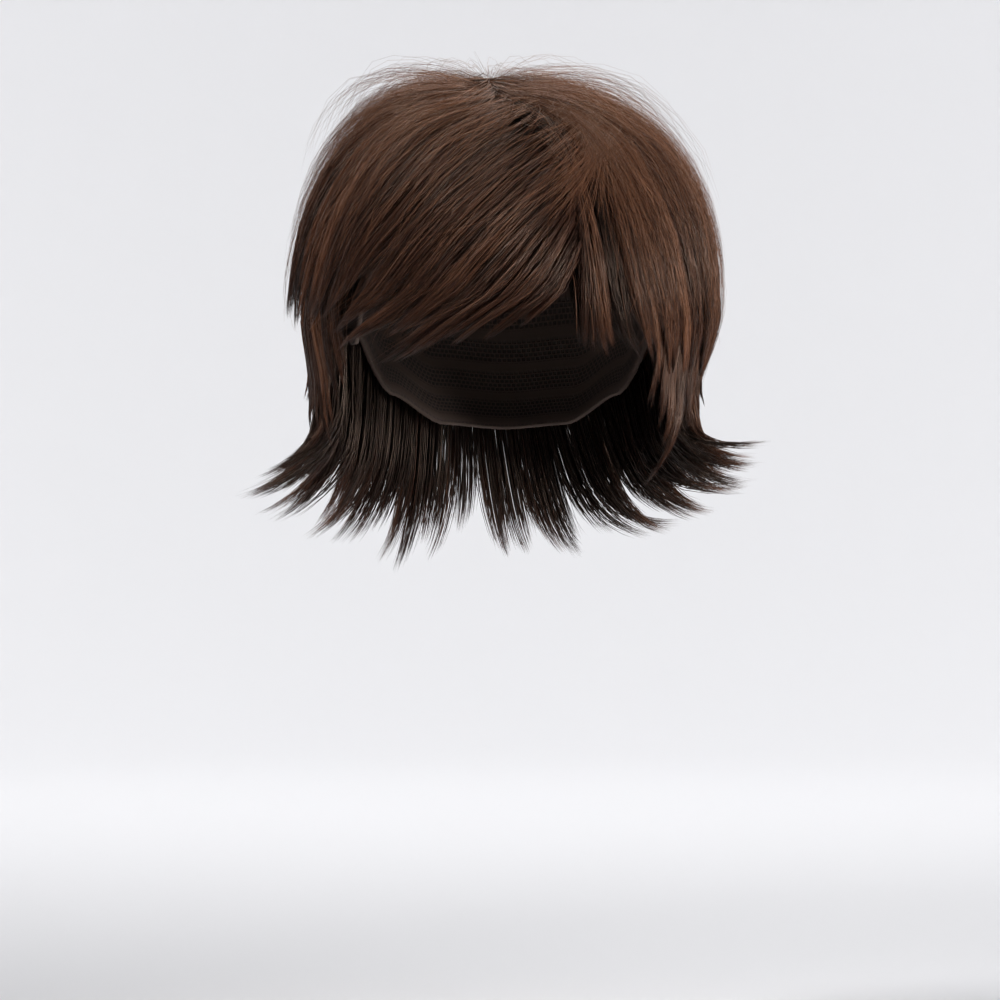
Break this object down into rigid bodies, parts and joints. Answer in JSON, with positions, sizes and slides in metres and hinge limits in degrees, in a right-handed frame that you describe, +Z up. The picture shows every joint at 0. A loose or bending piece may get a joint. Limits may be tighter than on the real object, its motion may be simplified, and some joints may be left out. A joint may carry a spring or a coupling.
{
  "type": "short wig",
  "caption": "Short layered wig with a side-swept fringe and flicked-out ends on a hollow knitted cap that sits on a head.",
  "frame": {"origin": "inside top of the cap, where it sits on the crown of the head", "axes": "+Z up, the face looks along -Y, +X to the right as seen from the front"},
  "size_m": [0.2549, 0.2493, 0.2423],
  "materials": {
    "hair_fibre": "dark brown straight synthetic fibre, satin sheen along the strand",
    "cap_cloth": "dark knitted net, matt"
  },
  "bodies": {
    "root": {"wig_cap": "cap_cloth", "crown_hair": "hair_fibre", "fringe_left": "hair_fibre", "fringe_right": "hair_fibre", "side_left": "hair_fibre", "side_right": "hair_fibre", "back_hair": "hair_fibre", "nape_hair": "hair_fibre"}
  },
  "joints": []
}
